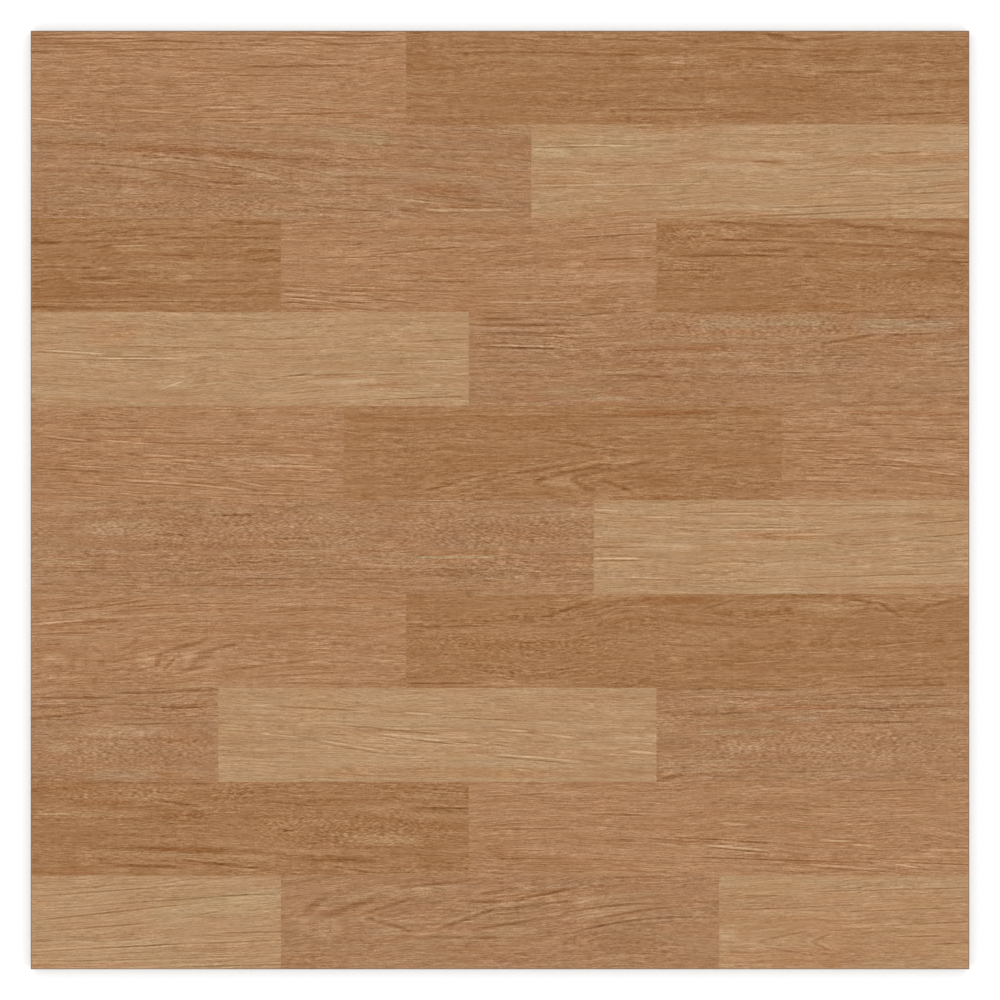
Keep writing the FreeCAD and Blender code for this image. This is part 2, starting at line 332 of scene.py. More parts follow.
        dict(start=9, wood="straw", climb=0.5, steepening=2.5, fan=0.5, lines=(0.5, 0.5, 0.5),
             figures=[
            ("pale", 369, 6.5, 10, 0.5, 0, 0), ("pale", 400, 11, 11, 0.5, 0, 0),
            ("pale", 449, 8.6, 22, 0.5, 0, 0), ("pale", 492, 22, 18, 0.5, 0.3, 0),
            ("pink", 480, 26.5, 30, 0.9, 0.2, 0), ("pale", 372, 37.2, 14, 0.6, 0, 0),
            ("dark", 374, 38.6, 15, 0.6, 0, 0), ("dark", 375, 30, 28, 0.45, 0, 0),
            ("dark", 460, 17.6, 30, 0.45, 0.2, 0), ("pale", 460, 18.8, 30, 0.45, 0.2, 0),
            ("pink", 400, 30, 22, 2.5, 0, 0), ("dark", 500, 3.5, 50, 0.5, 0, 0),
            ("dark", 578, 23, 20, 0.6, 1.6, 0), ("dark", 580, 14, 18, 0.5, 1.4, 0),
            ("orange", 580, 12, 22, 6, 0, 0), ("orange", 475, 23, 25, 3, 0, 0),
            ("dark", 420, 51, 60, 0.45, -1, 0), ("dark", 520, 48.6, 60, 0.45, 1.8, 0),
            ("orange", 550, 56, 60, 3, 0, 0), ("dark", 570, 40, 28, 0.5, 1.6, 0),
        ]),
    ],
    [
        dict(start=0, wood="rosy", climb=2.5, steepening=-4, fan=-1, lines=(0.6, 0.35, 0.45),
             hill=(120, 30, 60, 22, 4, 0), figures=[
            ("dark", 42, 8.2, 43, 0.6, 5.2, -1), ("dark", 105, 6.3, 46, 0.5, 1, 1.3),
            ("pale", 15, 18.3, 20, 0.6, 1.6, 0), ("light", 28, 15, 22, 2, 2.4, 0),
            ("soft", 40, 18.2, 30, 0.8, 3, 0.2), ("light", 62, 14.2, 26, 0.6, 1.4, 0.3),
            ("dark", 24, 25, 27, 0.5, 0.6, 0.8), ("soft", 43, 36.5, 4, 1.5, -2.5, 0),
            ("soft", 45, 43.5, 2.6, 2.4, 0, 0), ("soft", 64, 31.5, 6, 1.6, 3, 0),
            ("light", 16, 41, 8, 3.4, 0, 0), ("light", 73, 41, 5.5, 6.5, 0, 0),
            ("brown", 81.4, 41.6, 2.2, 3.4, 2, 0), ("brown", 97, 33.6, 17, 1.2, 5, 0),
            ("brown", 88.5, 44.6, 3.4, 1.5, 3.4, 0), ("dark", 104, 47.6, 9, 1.4, 1.9, 0),
            ("brown", 109, 41, 7, 2.9, 3, 0), ("brown", 118, 35, 13, 1.2, 3.2, 0),
            ("brown", 150, 45.4, 40, 0.8, 4.8, 0.2), ("brown", 172, 51.4, 32, 0.8, 2, 0),
        ]),
        dict(start=6, wood="golden", climb=1, steepening=0, fan=0, lines=(0.3, 0.3, 0.4),
             hill=(400, 8, 70, 16, 4, 0), figures=[
            ("soft", 318, 14.2, 16, 1.1, 0.8, 0), ("brown", 345, 8.8, 16, 1.2, 5.6, 0),
            ("soft", 362, 9.4, 17, 1.2, 5.6, 0), ("soft", 382, 6.6, 14, 1, 3.8, 0.3),
            ("rust", 410, 5, 24, 2.6, 0.6, 0), ("brown", 438, 7, 10, 0.8, 3, 0),
            ("soft", 483, 10.5, 3.5, 2.4, -2, 0), ("light", 505, 9, 18, 4, 0, 0),
            ("brown", 532, 4.8, 12, 1, -1.8, 0), ("brown", 548, 10.5, 7, 1.4, -4.2, 0),
            ("soft", 567, 10.5, 5, 1.7, 3.2, 0), ("brown", 585, 4.8, 13, 1.1, 2.8, 0),
            ("dark", 268, 20.6, 28, 0.5, 0.4, 0), ("dark", 318, 31, 4, 0.6, 0, 0),
            ("pale", 462, 43.6, 14, 0.5, 1, 0), ("pale", 555, 32, 16, 0.5, 1.6, 0),
            ("dark", 545, 52.3, 24, 0.65, 1, 0), ("dark", 262, 57, 24, 0.6, 0, 0),
            ("brown", 552, 58.4, 30, 0.7, 0.4, 0), ("flecks", 305, 33, 70, 8, 0, 0),
        ]),
    ],
    [
        dict(start=0, wood="flecked", climb=1, steepening=0, fan=-1, lines=(0.7, 0.4, 0.3),
             figures=[
            ("dark", 20, 17.6, 20, 0.8, 2.2, 0), ("dark", 84, 22.8, 30, 0.6, 0.8, 0),
            ("dark", 20, 12, 26, 0.7, 0.3, 0), ("dark", 30, 6.4, 20, 0.8, 0.2, 0),
            ("dim", 95, 2, 25, 1.5, -1, 0), ("light", 18, 38.5, 9, 3, 0, 0),
            ("flecks", 60, 40, 60, 14, 0, 0), ("grey", 60, 56, 20, 3, 0, 0),
            ("dark", 70, 3, 16, 0.7, 0.2, 0), ("light", 60, 28, 30, 2.4, 0, 0),
            ("dark", 96, 12.6, 18, 0.6, 0.2, 0),
        ]),
        dict(start=3, wood="straw", climb=-2.5, steepening=0, fan=-1, lines=(0.4, 0.5, 0.4),
             figures=[
            ("pale", 129, 24, 8, 0.55, -0.8, 0), ("dark", 180, 13, 25, 0.6, -1.2, 0),
            ("dark", 231, 27, 32, 0.65, -3.2, 0), ("pale", 245, 31.6, 22, 0.65, -2.4, 0),
            ("pale", 248, 16.5, 9, 0.6, -0.6, 0), ("pale", 205, 37, 22, 0.55, -3.8, 0),
            ("pale", 324, 44.6, 26, 0.65, -2.4, 0), ("pale", 307, 27, 9, 0.6, -0.8, 0),
            ("pale", 335, 30.5, 12, 0.55, -1.5, 0), ("pink", 385, 32, 18, 2, -0.5, 0),
            ("pale", 390, 41, 10, 0.6, -1, 0), ("orange", 300, 54, 120, 3, 0, 0),
            ("dark", 245, 33.2, 22, 0.45, -2.4, 0), ("dark", 322, 46.2, 24, 0.45, -2.2, 0),
            ("dark", 290, 20, 30, 0.5, -1.4, 0), ("pale", 275, 35.6, 10, 0.45, -0.8, 0),
            ("dark", 205, 38.8, 20, 0.4, -3.4, 0), ("pale", 160, 30.5, 14, 0.4, -1.4, 0),
        ]),
        dict(start=10, wood="flecked", climb=0.5, steepening=0, fan=0, lines=(0.6, 0.4, 0.4),
             figures=[
            ("rust", 490, 12.8, 46, 1.2, 1.6, 0), ("dim", 430, 16, 28, 3, 0, 0),
            ("grey", 490, 20, 14, 1.6, 0, 0), ("olive", 450, 28, 25, 2, 0, 0),
            ("dim", 490, 48, 40, 3, 0.5, 0), ("grey", 427, 52.5, 26, 0.9, 0, 0),
            ("brown", 408, 57, 10, 1.2, 3, 0), ("flecks", 510, 38, 90, 12, 0, 0),
            ("light", 455, 38, 12, 4, 0, 0), ("dark", 560, 12.5, 35, 0.5, 1.2, 0),
            ("dark", 540, 22, 30, 0.5, 0.2, 0), ("dark", 560, 5, 30, 0.6, 0.4, 0),
        ]),
    ],
    [
        dict(start=0, wood="golden", climb=-1.5, steepening=-1.5, fan=-1.5, lines=(0.35, 0.4, 0.5),
             figures=[
            ("rust", 45, 13, 20, 1.6, 0, 0), ("dark", 93, 13.5, 14, 0.9, -2.2, 0),
            ("pale", 14, 20.6, 13, 0.5, 0, 0), ("light", 45, 21, 40, 1.8, 0, 0),
            ("soft", 95, 43.2, 62, 1.9, -2.6, 0.4), ("rust", 98, 43.8, 24, 1.3, -0.8, 0),
            ("brown", 190, 49.4, 32, 2.4, -1.2, 0), ("brown", 70, 53.3, 26, 0.75, -1.4, 0),
            ("brown", 132, 53.6, 36, 0.75, -4.2, 0.4), ("brown", 206, 56, 14, 0.75, -2.2, 0),
            ("rust", 18, 57.3, 26, 1.6, -0.2, 0), ("brown", 258, 18.2, 26, 1.8, -0.4, 0),
            ("dark", 262, 16.8, 18, 0.6, 0, 0), ("light", 255, 9, 18, 2, 0, 0),
            ("light", 95, 57, 18, 2, -0.5, 0), ("flecks", 200, 30, 70, 13, 0, 0),
            ("dark", 163, 30.8, 6, 0.7, -0.3, 0), ("light", 222, 37, 24, 3, -1, 0),
            ("flecks", 60, 8, 50, 7, 0, 0), ("dim", 12, 39, 30, 2, -0.4, 0),
        ]),
        dict(start=7, wood="rosy", climb=-1, steepening=-0.5, fan=-2.5, lines=(0.4, 0.4, 0.5),
             figures=[
            ("pale", 448, 26.8, 9, 0.7, -0.4, 0), ("pale", 450, 42, 22, 0.7, -2.2, 0),
            ("dark", 450, 37.6, 42, 0.5, -2.4, 0), ("pale", 512, 37.5, 10, 0.65, -0.3, 0),
            ("pale", 530, 40.5, 7, 0.6, -0.5, 0), ("pale", 584, 43.5, 15, 0.7, -0.3, 0),
            ("pale", 521, 54.4, 24, 0.6, -1.4, 0), ("dark", 310, 8.5, 25, 0.5, 1, 0),
            ("dark", 540, 5.5, 45, 0.45, 0.4, -0.6), ("dark", 375, 21, 20, 0.6, -0.5, 0),
            ("dark", 480, 50, 60, 0.45, -2, 0), ("dark", 452, 43.6, 22, 0.5, -2.2, 0),
            ("dark", 520, 56, 24, 0.45, -1.4, 0), ("dark", 575, 52, 24, 0.45, -1, 0),
            ("dark", 320, 30, 36, 0.45, 0, 0), ("pink", 350, 45, 40, 3, -1, 0),
            ("pale", 558, 53.6, 8, 0.5, -1.2, 0), ("olive", 490, 29.4, 10, 1.2, -0.6, 0),
            ("dark", 460, 38.8, 12, 0.6, -0.6, 0), ("light", 530, 41, 12, 1, -1, 0),
        ]),
    ],
    [
        dict(start=0, wood="straw", climb=5, steepening=0, fan=-1.5, lines=(0.6, 0.4, 0.6),
             figures=[
            ("dark", 55, 23, 55, 0.5, 6, 0), ("dark", 90, 15.5, 70, 0.5, 5, 0),
            ("dark", 110, 24.5, 14, 0.5, 2.5, 0), ("dark", 100, 43.5, 60, 0.5, 2.5, 0),
            ("dark", 80, 53, 70, 0.5, 1.8, 0), ("dark", 125, 57.5, 40, 0.5, 1, 0),
            ("orange", 30, 57, 50, 1.5, 0, 0), ("dark", 145, 36, 22, 0.5, 0.6, 0),
            ("olive", 120, 20, 40, 8, 4, 0), ("dark", 40, 33, 42, 0.5, 3.4, 0),
            ("dark", 50, 46, 46, 0.5, 2.6, 0), ("dark", 60, 9, 60, 0.5, 4.4, 0),
        ]),
        dict(start=4, wood="flecked", climb=5, steepening=-2, fan=-3, lines=(0.3, 0.3, 0.3),
             hill=(390, 34, 60, 16, 4, 0), figures=[
            ("brown", 181.5, 18, 8.5, 2.5, 5.5, 0), ("brown", 205, 19.5, 22, 2.12, 8, 0),
            ("brown", 230, 18.6, 17, 1.12, 5.5, 0), ("dark", 216, 27.5, 3.4, 1.25, 0, 0),
            ("brown", 230, 31.4, 13, 1.12, -3.6, 0.6), ("brown", 268, 39.2, 32, 1, -0.6, 0),
            ("dark", 277, 27.8, 20, 1.12, 7, 0), ("dark", 320, 19, 26, 0.94, 3.2, 0.2),
            ("dark", 295, 16.6, 18, 1, 0.5, -0.8), ("dark", 328, 11.6, 16, 1, 3.2, 0),
            ("dark", 300, 9.6, 12, 1.12, 2, 0), ("brown", 256, 5.6, 25, 1, 2.4, -0.6),
            ("dark", 316, 29, 30, 1, 4.8, 0), ("pink", 190, 35, 8, 6, 0, 0),
            ("light", 225, 35.4, 11, 2, 0, 0), ("pink", 308, 35, 16, 2.2, 0, 0),
            ("dark", 370, 19.2, 30, 0.65, 3, 1.4), ("dark", 388, 22.4, 28, 0.65, 4, 1),
            ("dark", 392, 27.6, 47, 0.75, 4.5, 4.5), ("pink", 368, 23, 22, 2.2, 4.6, 0),
        ]),
        dict(start=11, wood="straw", climb=2, steepening=0, fan=-2.5, lines=(0.4, 0.4, 0.3),
             figures=[
            ("brown", 503.5, 39.6, 5.5, 0.8, 2.2, 0), ("brown", 504, 45.2, 5.5, 0.8, -2.3, 0),
            ("soft", 499, 42.4, 3, 1, 0, 0), ("dark", 484, 20.4, 44, 0.5, 1.8, 0),
            ("dark", 545, 9, 55, 0.45, 1.4, 0), ("dark", 572, 30.6, 30, 0.5, 1.4, 0),
            ("dark", 558, 21.6, 42, 0.45, 1.6, 0), ("dark", 527, 34, 20, 0.45, 1.2, 0),
            ("brown", 478, 38.6, 16, 0.6, 3.2, 0), ("brown", 480, 47.6, 18, 0.6, -3, 0),
            ("soft", 466, 42.8, 3.4, 1, 0, 0), ("light", 445, 37, 8, 5, 0, 0),
            ("light", 450, 31.5, 14, 0.7, 1.4, 0), ("light", 470, 34.6, 14, 0.8, 1.6, 0),
            ("dark", 460, 12.8, 20, 0.45, 0, 0), ("orange", 522, 34, 100, 26, 0, 0),
            ("orange", 480, 54, 50, 5, 0, 0), ("dark", 567, 38.6, 13, 0.45, 0.2, 0),
            ("dark", 588, 43.2, 12, 0.5, 0.5, 0), ("soft", 498, 50.2, 8, 0.7, 0.2, 0),
        ]),
    ],
]
modules = 15

# The four woods of the print. tone is red, green and blue out of 255, as the glazed face shows
# them. fineness and shortness shrink the fibres across and along. The others are strengths: of the
# fibres, of the slow light and dark bands, of the drift in hue, and of the pores.
woods = {
    "rosy": dict(tone=(171.2, 127.6, 91.0), fineness=1.0, shortness=1.0,
                 contrast=1.03, bands=0.8, hue=0.6, pores=0.5),
    "golden": dict(tone=(162.7, 119.1, 80.6), fineness=0.8, shortness=1.35,
                   contrast=0.82, bands=1.05, hue=0.35, pores=0.95),
    "flecked": dict(tone=(168.2, 126.2, 91.2), fineness=0.82, shortness=1.35,
                    contrast=0.88, bands=1.0, hue=1.0, pores=0.95),
    "straw": dict(tone=(179.4, 141.8, 105.0), fineness=1.0, shortness=1.0,
                  contrast=0.84, bands=0.75, hue=0.9, pores=0.45),
}
full_tone = 255

# Where a point of the face lies, in mm: along from the left side, down from the upper side, and
# across its own row.
place_node = recipe.nodes.new("ShaderNodeTexCoord")
place_x, place_y, place_z = split(Reading(place_node.outputs["Object"]))
along = (place_x - tile_low.x) / millimetre
down = (tile_high.y - place_y) / millimetre
row_width = tile_width / len(strips)
lowest_line = tile_width - 0.001
row = work_out("FLOOR", work_out("MINIMUM", down, lowest_line) / row_width)
across = down - row * row_width

# Which strip the point is on. A row has two or three strips.
all_strips = []
row_table = []
for row_strips in strips:
    starts = [strip["start"] for strip in row_strips]
    ends = starts[1:] + [modules]
    third = starts[2] if len(starts) > 2 else modules
    row_table.append((len(all_strips) / table_room, starts[1] / modules, third / modules, 1.0))
    for strip, end in zip(row_strips, ends):
        strip["middle"] = (strip["start"] + end) / 2 / modules
        strip["half"] = (end - strip["start"]) / 2 / modules
        all_strips.append(strip)
first_in_row, first_joint, second_joint = split(look_up((row + 0.5) / table_room, row_table)[0])
share_along = along / tile_length
joints_passed = work_out("GREATER_THAN", share_along, first_joint)
joints_passed = joints_passed + work_out("GREATER_THAN", share_along, second_joint)
strip_place = first_in_row + (joints_passed + 0.5) / table_room

# The strip's own grain: which way it runs, and where its dark lines are strong. The tables hold
# these between 0 and 1, so what can be negative is stored about a half.
half_way = 0.5
slope_room = 0.4
share_room = 2.0
climb_rows, line_rows, middle_rows = [], [], []
for strip in all_strips:
    wood = woods[strip["wood"]]
    slopes = (strip[key] / 100 / slope_room + half_way for key in ("climb", "steepening", "fan"))
    climb_rows.append((*slopes, 1.0))
    line_rows.append((*(strength / share_room for strength in strip["lines"]), 1.0))
    middle_rows.append((strip["middle"], strip["half"], wood["bands"] / share_room,
                        wood["contrast"]))
extent, contrast = look_up(strip_place, middle_rows)
middle, half, band_strength = split(extent)
band_strength = band_strength * share_room
climb, steepening, fan = split((look_up(strip_place, climb_rows)[0] - half_way) * slope_room)
lines_top, lines_middle, lines_low = split(look_up(strip_place, line_rows)[0] * share_room)
share_right = (share_along - middle) / half
share_low = across / (row_width / 2) - 1.0
slope = climb + steepening * share_right * 0.5 + fan * share_low
lift = slope * share_right * half * tile_length

# Each strip comes from a board of its own, so its grain is shifted a long way along.
board_shift = 371.3
strip_shift = strip_place * (table_room * board_shift)
sheet = join(along + strip_shift, across)
wander = noise(sheet, 70, 45, 1, detail=1.0) * 6.0 + noise(sheet, 22, 9, 2)

# Where the board was cut across a swelling of the tree, the grain runs round a hill.
hill_room = 60
no_hill = (0, 0, 10, 10, 0, 0)
where_rows, height_rows = [], []
for strip in all_strips:
    x, y, half_length, half_width, height, tilt = strip.get("hill", no_hill)
    where_rows.append((x / tile_length, y / row_width / 2 + half_way, half_length / tile_length,
                       half_width / row_width))
    height_rows.append((height / hill_room + half_way, tilt / hill_room + half_way, 0.0, 1.0))
where, half_width = look_up(strip_place, where_rows)
x, y, half_length = split(where)
height, tilt, _ = split(look_up(strip_place, height_rows)[0] - half_way)
out_along = (share_along - x) / half_length
out_across = (across / row_width - (y - half_way) * 2 + tilt * out_along) / half_width
hill = ease(out_along * out_along + out_across * out_across, 1.0, 0.0) * height * hill_room

# The fibres follow a hill less closely than the dark grain lines do.
fibre_share = 0.45
across_grain = across + lift + wander + hill * fibre_share
grain = join(along + strip_shift, across_grain)

# The inks of the drawn strokes: what each adds to red, green and blue out of 255, and how ragged
# the fine fibres leave its edge. The last one has no tone of its own and brings out the flecks.
inks = {
    "dark": dict(tone=(-21, -22, -22), raggedness=0.35, flecks=0),
    "brown": dict(tone=(-15, -16, -16), raggedness=0.35, flecks=0),
    "soft": dict(tone=(-10, -10, -10), raggedness=0.7, flecks=0),
    "rust": dict(tone=(-6, -10, -11), raggedness=0.8, flecks=0),
    "dim": dict(tone=(-5, -6, -6), raggedness=1.0, flecks=0),
    "pale": dict(tone=(23, 26, 27), raggedness=0.3, flecks=0),
    "light": dict(tone=(7, 10, 10), raggedness=1.0, flecks=0),
    "grey": dict(tone=(2, 8, 10), raggedness=1.0, flecks=0),
    "olive": dict(tone=(1, 6, 5), raggedness=1.0, flecks=0),
    "pink": dict(tone=(8, 10, 11), raggedness=1.0, flecks=0),
    "orange": dict(tone=(-3, -7, -8), raggedness=1.0, flecks=0),
    "flecks": dict(tone=(0, 0, 0), raggedness=1.0, flecks=1),
}
grit = noise(grain, 3.0, 0.75, 3) * 2.0 + noise(grain, 12, 1.6, 4) * 1.2

# Each of these groups draws one stroke on every strip. A stroke is darkest in its middle and fades
# out past its edge, with a little of the opposite tone beside it.
ink_room = 100
bend_room = 40
edge_room = 3
off_the_row = -59
no_stroke = ("dark", 0, off_the_row, 1, 1, 0, 0)
stroke_reach = 10
deepest, shallowest = 1.0, -0.5
stroke_section = ((0.0, 1.0), (0.2, 1.0), (0.7, 0.55), (1.3, 0.05), (4.0, -0.4), (9.0, 0.0))
stroke_inputs = (("strip", "Float"), ("share_along", "Float"), ("share_across", "Float"),
                 ("grit", "Float"), ("ink", "Vector"), ("flecks", "Float"))
stroke_count = max(len(strip["figures"]) for strip in all_strips)
strokes = []
for number in range(stroke_count):
    where_rows, bend_rows, ink_rows = [], [], []
    for strip in all_strips:
        figures = strip["figures"]
        figure = figures[number] if number < len(figures) else no_stroke
        ink_name, x, y, half_length, half_width, rise, drop = figure
        ink = inks[ink_name]
        where_rows.append((x / tile_length, (y / row_width + 1) / edge_room,
                           half_length / tile_length, ink["raggedness"]))
        bend_rows.append((rise / bend_room + half_way, drop / bend_room + half_way,
                          half_width / row_width / edge_room, ink["flecks"]))
        ink_rows.append((*(tone / ink_room + half_way for tone in ink["tone"]), 1.0))
    recipe = bpy.data.node_groups.new(f"ink_stroke_{number}", "ShaderNodeTree")
    for name, kind in stroke_inputs:
        recipe.interface.new_socket(name, in_out="INPUT", socket_type="NodeSocket" + kind)
    for name, kind in stroke_inputs[-2:]:
        recipe.interface.new_socket(name, in_out="OUTPUT", socket_type="NodeSocket" + kind)
    sockets = recipe.nodes.new("NodeGroupInput").outputs
    strip_in, along_in, across_in, grit_in, ink_in, flecks_in = [
        Reading(socket) for socket in sockets[:len(stroke_inputs)]]
    where, raggedness = look_up(strip_in, where_rows)
    x, y, half_length = split(where)
    bends, fleck = look_up(strip_in, bend_rows)
    rise, drop, half_width = split(bends)
    stroke_tone, _ = look_up(strip_in, ink_rows)
    out_along = (along_in - x) / half_length
    out_square = out_along * out_along
    bend_size = bend_room / row_width / edge_room
    offset = work_out("MULTIPLY_ADD", rise * bend_size - half_way * bend_size, out_along,
                      across_in - y)
    offset = work_out("MULTIPLY_ADD", half_way * bend_size - drop * bend_size, out_square, offset)
    out_across = offset / half_width
    distance = work_out("MULTIPLY_ADD", out_square, out_square,
                        out_across * out_across - grit_in * raggedness)
    section = recipe.nodes.new("ShaderNodeValToRGB")
    stops = section.color_ramp.elements
    while len(stops) < len(stroke_section):
        stops.new(1.0)
    for stop, (reach, depth) in zip(stops, stroke_section):
        stop.position = reach / stroke_reach
        stop.color = (0.0, 0.0, 0.0, (depth - shallowest) / (deepest - shallowest))
    plug(section.inputs[0], distance * (1 / stroke_reach))
    mask = work_out("MULTIPLY_ADD", Reading(section.outputs["Alpha"]), deepest - shallowest,
                    shallowest)
    output = recipe.nodes.new("NodeGroupOutput")
    plug(output.inputs["ink"], work_out("MULTIPLY_ADD", stroke_tone - half_way, mask, ink_in))
    plug(output.inputs["flecks"], work_out("MULTIPLY_ADD", fleck, mask, flecks_in))
    strokes.append(recipe)
recipe = glazed_porcelain.node_tree

# The strokes are printed one over the other.
share_across = (across / row_width + 1.0) / edge_room
ink_tone, flecking = (0.0, 0.0, 0.0), 0.0
for stroke in strokes:
    node = recipe.nodes.new("ShaderNodeGroup")
    node.node_tree = stroke
    for name, value in (("strip", strip_place), ("share_along", share_along),
                        ("share_across", share_across), ("grit", grit), ("ink", ink_tone),
                        ("flecks", flecking)):
        plug(node.inputs[name], value)
    ink_tone, flecking = (Reading(socket) for socket in node.outputs)
flecking = work_out("MINIMUM", flecking, 1.0)

# The fibres and pores of the wood, as tones out of 255.
wood_rows, share_rows = [], []
for strip in all_strips:
    wood = woods[strip["wood"]]
    wood_rows.append((*(tone / full_tone for tone in wood["tone"]), wood["fineness"]))
    share_rows.append((*(wood[key] / share_room for key in ("hue", "shortness", "pores")), 1.0))
wood_tone, fineness = look_up(strip_place, wood_rows)
shares = split(look_up(strip_place, share_rows)[0])
hue_strength, shortness, pore_strength = [share * share_room for share in shares]
fibre_sheet = join((along + strip_shift) * shortness, across_grain * fineness)
short = noise(fibre_sheet, 1.6, 0.6, 5)
middling = noise(fibre_sheet, 4.5, 0.62, 6)
lengthy = noise(fibre_sheet, 14, 0.66, 7)
endless = noise(fibre_sheet, 90, 0.95, 8)
fibres = short * 22 + middling * 35 + lengthy * 25 + endless * 19
dark_pores = ease(noise(fibre_sheet, 7, 0.66, 18) + middling * 0.4, 0.05, 0.17) * 13
pale_fibres = ease(lengthy + short * 0.5, 0.09, 0.2) * 5
pore_row_spacing = 1.95
pore_phase = across_grain / pore_row_spacing + noise(grain, 30, 2.2, 19) * 2.4
pore_rows = work_out("SINE", pore_phase * (2 * math.pi)) * 4.5
patches = noise(grain, 40, 14, 10, detail=1.0)
fibres = fibres + (pale_fibres - dark_pores) * pore_strength + pore_rows
fibres = fibres * (contrast + patches)
bands = noise(grain, 110, 5.0, 9, detail=2.0)
slow_tone = (bands * 28 + patches * 5) * band_strength

# The dark grain lines: the edges of the tree's growth rings, a sharp line with a paler zone before
# it. They come and go along the strip.
ring_spacing = 4.0
on_hill = ease(work_out("ABSOLUTE", hill), 1.0, 5.0)
ring_rag = noise(sheet, 5.0, 1.0, 20) * on_hill * 1.6
ring_sweep = noise(grain, 130, 9, 11, detail=1.0) * 7.0
ring_phase = (across_grain + hill * (1 - fibre_share) + ring_rag + ring_sweep) / ring_spacing
ring_saw = work_out("FRACT", ring_phase)
ring_gap = work_out("PINGPONG", ring_phase, 0.5)
pale_zone = ease(ring_saw, 0.08, 0.2) * ease(ring_saw, 0.4, 0.25) * 0.45
ring_tone = pale_zone - ease(ring_gap, 0.13, 0.03)
upper = ease(share_low, -1.0, 0.0)
lower = ease(share_low, 0.0, 1.0)
line_strength = lines_top + (lines_middle - lines_top) * upper + (lines_low - lines_middle) * lower
line_breaks = noise(grain, 45, 3.5, 12, detail=1.0) + line_strength * 0.25
line_strength = line_strength * ease(line_breaks, 0.0, 0.25) + on_hill * 0.15
line_depth = 24

# The flecks: small slanting flames where the board cuts interlocked grain. They lean one way in
# one patch and the other way in the next, and take the place of the fibres.
slant = 0.22
fleck_lean = ease(noise(sheet, 12, 5, 13), -0.06, 0.06)
fleck_size = (3.2, 0.75)
falling = noise(join(along, across_grain + along * slant), *fleck_size, 14)
rising = noise(join(along, across_grain - along * slant), *fleck_size, 15)
fleck_tone = mix(fleck_lean, falling, rising) * 95
tone = mix(flecking * 0.75, fibres + ring_tone * line_strength * line_depth,
           fleck_tone + fibres * 0.4)

# The hue drifts between warm and cool, and here and there towards pink.
warm = noise(grain, 45, 8, 16, detail=1.0)
blush = noise(sheet, 30, 7, 17, detail=1.0)
hue = join(warm * 6 - blush * 3, warm * -2 - blush * 2, warm * -4 + blush * 5)
hue = hue * join(hue_strength, hue_strength, hue_strength)

# The print's colour. The tones are those of a picture, so they are turned into amounts of light,
# less the light that the glaze itself throws back.
slow_shade = work_out("SCALE", (0.8, 1.05, 1.1), 0.0)
plug(slow_shade.socket.node.inputs["Scale"], slow_tone)
print_tone = wood_tone + ink_tone * (ink_room / full_tone)
print_tone = print_tone + (slow_shade + join(tone, tone, tone) + hue) / full_tone
to_light = recipe.nodes.new("ShaderNodeGamma")
plug(to_light.inputs["Color"], (print_tone + 0.055) / 1.055)
to_light.inputs["Gamma"].default_value = 2.4
glaze_light = 0.0213
studio_gain = 1.11
print_colour = (Reading(to_light.outputs[0]) - glaze_light) / studio_gain

# Below the glaze the tile is bare porcelain. The sides carry the fine lines of the grinding wheel,
# and the back a thin whitish wash that keeps it from sticking in the kiln and wears off the ribs.
height = place_z / millimetre
on_face = ease(height, tile_thickness - 0.12, tile_thickness - 0.04)
side_x = work_out("MINIMUM", along, tile_length - along)
side_y = work_out("MINIMUM", down, tile_width - down)
inside = work_out("MINIMUM", side_x, side_y)
at_side = ease(inside, 0.6, 0.2)
under = ease(height, 1.6, 1.0) * ease(inside, 0.5, 1.5)
lump = join(along + height * 0.4, down + height * 0.4)
clay = noise(lump, 2.2, 2.2, 31, detail=2.0) * 0.5 + noise(lump, 0.45, 0.45, 32) * 0.4
cloud = noise(lump, 60, 60, 33, detail=2.0)
wheel_lines = noise(join(along + down, height), 40, 0.09, 34, detail=1.0)
on_rib = ease(height, 0.75, 0.2)
smear = noise(lump, 14, 14, 35, detail=3.0)
wash = ease(cloud * 0.5 + clay * 0.6 + smear * 0.7 + on_rib * 0.35, -0.45, 0.6) * under
bare_clay = join(0.335, 0.255, 0.185)
chalk = join(0.62, 0.58, 0.52)
run_over_glaze = join(0.27, 0.165, 0.085)
bare = bare_clay * (1.0 + clay * 0.16 + cloud * 0.14 + wheel_lines * at_side * 0.22)
bare = mix(wash * 0.6, bare, chalk * (1.0 + clay * 0.2))
glaze_line = ease(height, tile_thickness - 1.35, tile_thickness - 1.2) * at_side
bare = mix(glaze_line * 0.55, bare, run_over_glaze)
# Painted shade: the bevel and the top of the sides are painted 45% darker than the bare body,
# standing in for the shade on the narrow angled edge. The bare body's colour under it is its own.
bevel_painted_shade = ease(height, tile_thickness - 0.8, tile_thickness - 0.65)
bare = bare * (1.0 - bevel_painted_shade * 0.45)
gloss_change = noise(join(along, down), 9, 3.5, 36, detail=2.0)
face_roughness = 0.46 + gloss_change * 0.12 - tone * 0.002
body_roughness = 0.86 + clay * 0.15 - glaze_line * 0.2

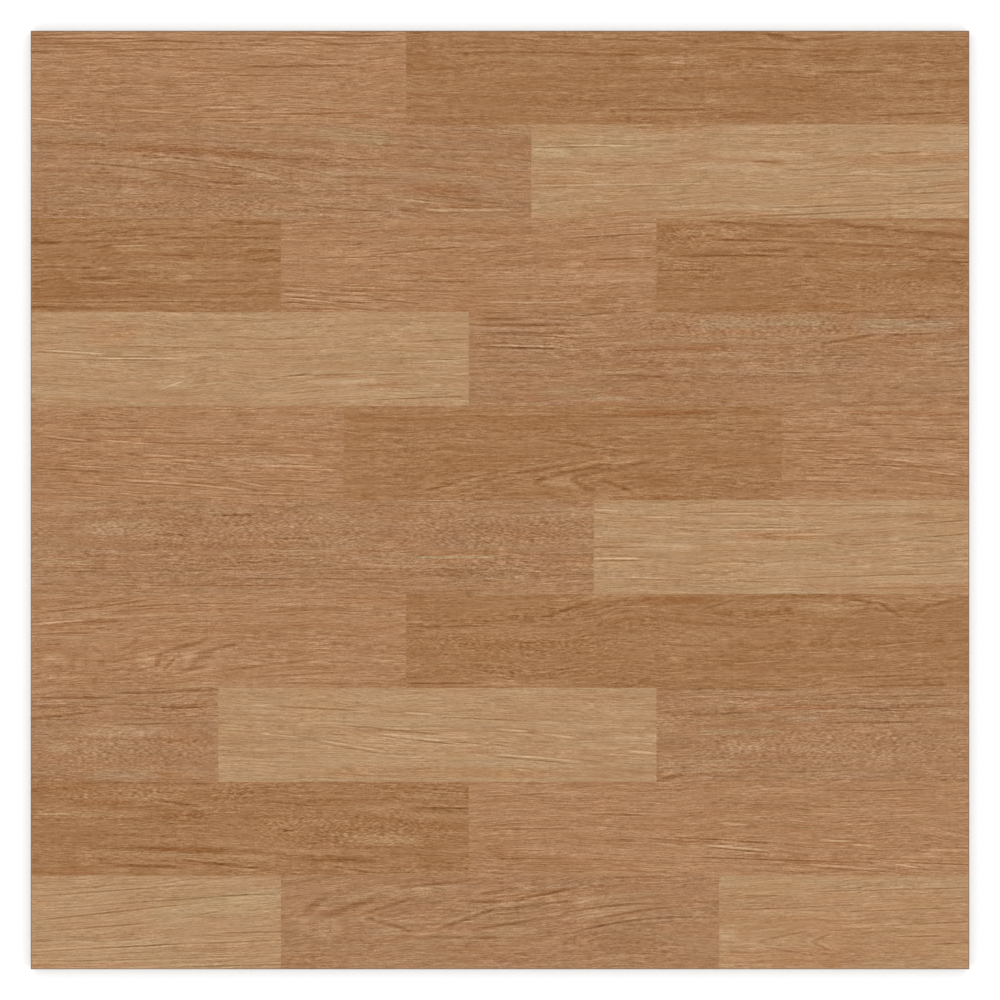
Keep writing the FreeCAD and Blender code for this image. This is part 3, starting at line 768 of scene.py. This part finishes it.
# A shallow relief, in mm: the glaze sinks a little along the grain, and the bare body is gritty.
face_relief = noise(join(along, down), 14, 0.9, 37) * 0.04
body_relief = clay * 0.06 + wheel_lines * at_side * 0.05
bump = recipe.nodes.new("ShaderNodeBump")
bump.inputs["Distance"].default_value = millimetre
bump.inputs["Strength"].default_value = 1.0
plug(bump.inputs["Height"], mix(on_face, body_relief, face_relief))
shader = recipe.nodes.new("ShaderNodeBsdfPrincipled")
plug(shader.inputs["Base Color"], mix(on_face, bare, print_colour))
plug(shader.inputs["Roughness"], mix(on_face, body_roughness, face_roughness))
shader.inputs["Specular IOR Level"].default_value = 0.3
plug(shader.inputs["Normal"], Reading(bump.outputs["Normal"]))
output = recipe.nodes.new("ShaderNodeOutputMaterial")
recipe.links.new(shader.outputs[0], output.inputs["Surface"])
tile.material_slots[0].material = glazed_porcelain

# Studio floor: one wide level sheet in plain matt white, so that only the tile has colour. The
# tile lies flat on it, with a gap of a tenth of a millimetre that keeps the two surfaces apart.
floor_side = 60.0
floor_gap = 0.1 * millimetre
bpy.ops.mesh.primitive_plane_add(size=floor_side, location=(0, 0, -floor_gap))
floor = bpy.context.object
floor.name = "studio_floor"
floor_paint = bpy.data.materials.new("floor_paint")
floor_paint.use_nodes = True
floor_shader = floor_paint.node_tree.nodes["Principled BSDF"]
floor_shader.inputs["Base Color"].default_value = (0.96, 0.96, 0.96, 1)
floor_shader.inputs["Roughness"].default_value = 0.9
floor.data.materials.append(floor_paint)

# Studio light: a white room, and one wide soft lamp on each side of the tile, all at one height.
# The flat face is lit evenly, and only a faint shadow lies along the tile's edge.
room_light = 0.55
lamp_strength = 0.62
lamp_width = math.radians(40)
lamp_tilt = math.radians(40)
world = bpy.data.worlds.new("studio")
world.use_nodes = True
background = world.node_tree.nodes["Background"]
background.inputs["Color"].default_value = (1, 1, 1, 1)
background.inputs["Strength"].default_value = room_light
bpy.context.scene.world = world
for name, turn in (("left", 90), ("right", -90), ("front", 0), ("back", 180)):
    lamp = bpy.data.lights.new(f"soft_lamp_{name}", "SUN")
    lamp.energy = lamp_strength
    lamp.angle = lamp_width
    holder = bpy.data.objects.new(lamp.name, lamp)
    holder.rotation_euler = (lamp_tilt, 0, math.radians(turn))
    bpy.context.scene.collection.objects.link(holder)

# Camera: a long lens on a stand, straight above the middle of the tile and square to it. The
# tile's side takes up 939 of the picture's 1000 points.
picture_points = 1000
tile_points = 939
view_width = tile_length * millimetre * picture_points / tile_points
lens = bpy.data.cameras.new("camera")
lens.sensor_width = 36.0
lens.lens = 80.0
camera = bpy.data.objects.new("camera", lens)
camera_height = tile_thickness * millimetre + view_width * lens.lens / lens.sensor_width
camera.location = (0, 0, camera_height)
bpy.context.scene.collection.objects.link(camera)
bpy.context.scene.camera = camera
bpy.context.scene.view_settings.view_transform = "Standard"
